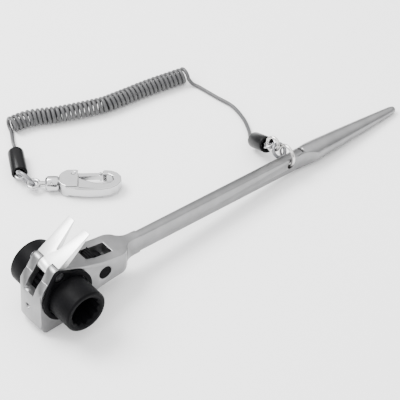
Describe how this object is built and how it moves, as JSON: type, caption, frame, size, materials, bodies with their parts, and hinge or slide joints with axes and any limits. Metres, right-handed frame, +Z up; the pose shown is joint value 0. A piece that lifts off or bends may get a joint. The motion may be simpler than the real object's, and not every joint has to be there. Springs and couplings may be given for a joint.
{
  "type": "ratcheting hydrant wrench with tether",
  "caption": "Ratcheting hydrant and spud wrench with a double-ended socket head, folding forked claw, reversing lever, tapered spike and a coiled tether with swivel snap hook.",
  "frame": {"origin": "on the floor, under the middle of the wrench's own bounding box (the tether is left out of that box)", "axes": "+X from the socket head towards the spike's point, +Z up from the floor, +Y towards the tether side; the wrench stands on the foot of its head and on its spike, so its bar slopes 4.25 degrees down towards +X"},
  "size_m": [0.3255, 0.2019, 0.0641],
  "materials": {
    "body_steel": "satin bead-blasted steel",
    "black_socket": "black oxide, semi-matt",
    "black_plate": "black oxide, matt",
    "black_lever": "black oxide, semi-matt",
    "spring_steel": "dark spring steel",
    "dark_steel": "dark hardened steel",
    "pin_steel": "ground steel",
    "claw_steel": "bright satin steel",
    "nickel_link": "nickel plate",
    "black_sleeve": "matt moulded plastic",
    "cord_vinyl": "grey smooth vinyl skin over wire rope",
    "shackle_steel": "dull steel",
    "hook_chrome": "bright plated casting"
  },
  "bodies": {
    "wrench": {"wrench_body": "body_steel", "retaining_plate": "black_plate", "pawl_pin": "pin_steel", "lever_pin": "black_lever", "brake_ball": "pin_steel", "brake_spring": "spring_steel", "grub_screw": "dark_steel", "claw_pin_rod": "pin_steel", "claw_clip": "spring_steel", "bar_link": "nickel_link", "middle_link": "nickel_link", "sleeve_link": "nickel_link", "front_sleeve": "black_sleeve", "front_eye": "pin_steel", "front_cord": "cord_vinyl", "cord_coil": "cord_vinyl", "rear_cord": "cord_vinyl", "rear_sleeve": "black_sleeve", "rear_eye": "pin_steel", "shackle_link": "shackle_steel", "swivel_eye": "hook_chrome"},
    "sockets": {"double_socket": "black_socket", "snap_ring": "spring_steel"},
    "pawl": {"pawl": "dark_steel"},
    "lever": {"reversing_lever": "black_lever", "lever_ball": "pin_steel", "lever_spring": "spring_steel"},
    "claw": {"claw": "claw_steel"},
    "hook": {"swivel_collar": "hook_chrome", "hook_body": "hook_chrome", "gate_pin": "pin_steel", "gate_spring": "spring_steel"},
    "gate": {"hook_gate": "hook_chrome"}
  },
  "joints": [
    {"name": "socket_spin", "type": "hinge", "parent": "wrench", "child": "sockets", "pos_m": [-0.13942, 0.00285, 0.02522], "axis": [0, 1, 0], "continuous": true},
    {"name": "lever_rock", "type": "hinge", "parent": "wrench", "child": "lever", "pos_m": [-0.1082, 0.00285, 0.0229], "axis": [0, 1, 0], "range_deg": [0, 55]},
    {"name": "pawl_rock", "type": "hinge", "parent": "wrench", "child": "pawl", "pos_m": [-0.11918, 0.00285, 0.02372], "axis": [0, 1, 0], "range_deg": [-12.2, 0.2]},
    {"name": "claw_fold", "type": "hinge", "parent": "wrench", "child": "claw", "pos_m": [-0.14449, 0.00285, 0.04465], "axis": [0, 1, 0], "range_deg": [-79, 0]},
    {"name": "hook_swivel", "type": "hinge", "parent": "wrench", "child": "hook", "pos_m": [-0.07472, 0.09601, 0.0056], "axis": [0.7793, -0.6266, 0], "continuous": true},
    {"name": "hook_gate", "type": "hinge", "parent": "hook", "child": "gate", "pos_m": [-0.06114, 0.09151, 0.0056], "axis": [0, 0, -1], "range_deg": [0, 22], "stiffness_Nm_per_rad": 0.03, "springref_deg": -17.19}
  ],
  "couplings": [
    {"joint": "pawl_rock", "follows": "lever_rock", "ratio": -0.21818}
  ]
}
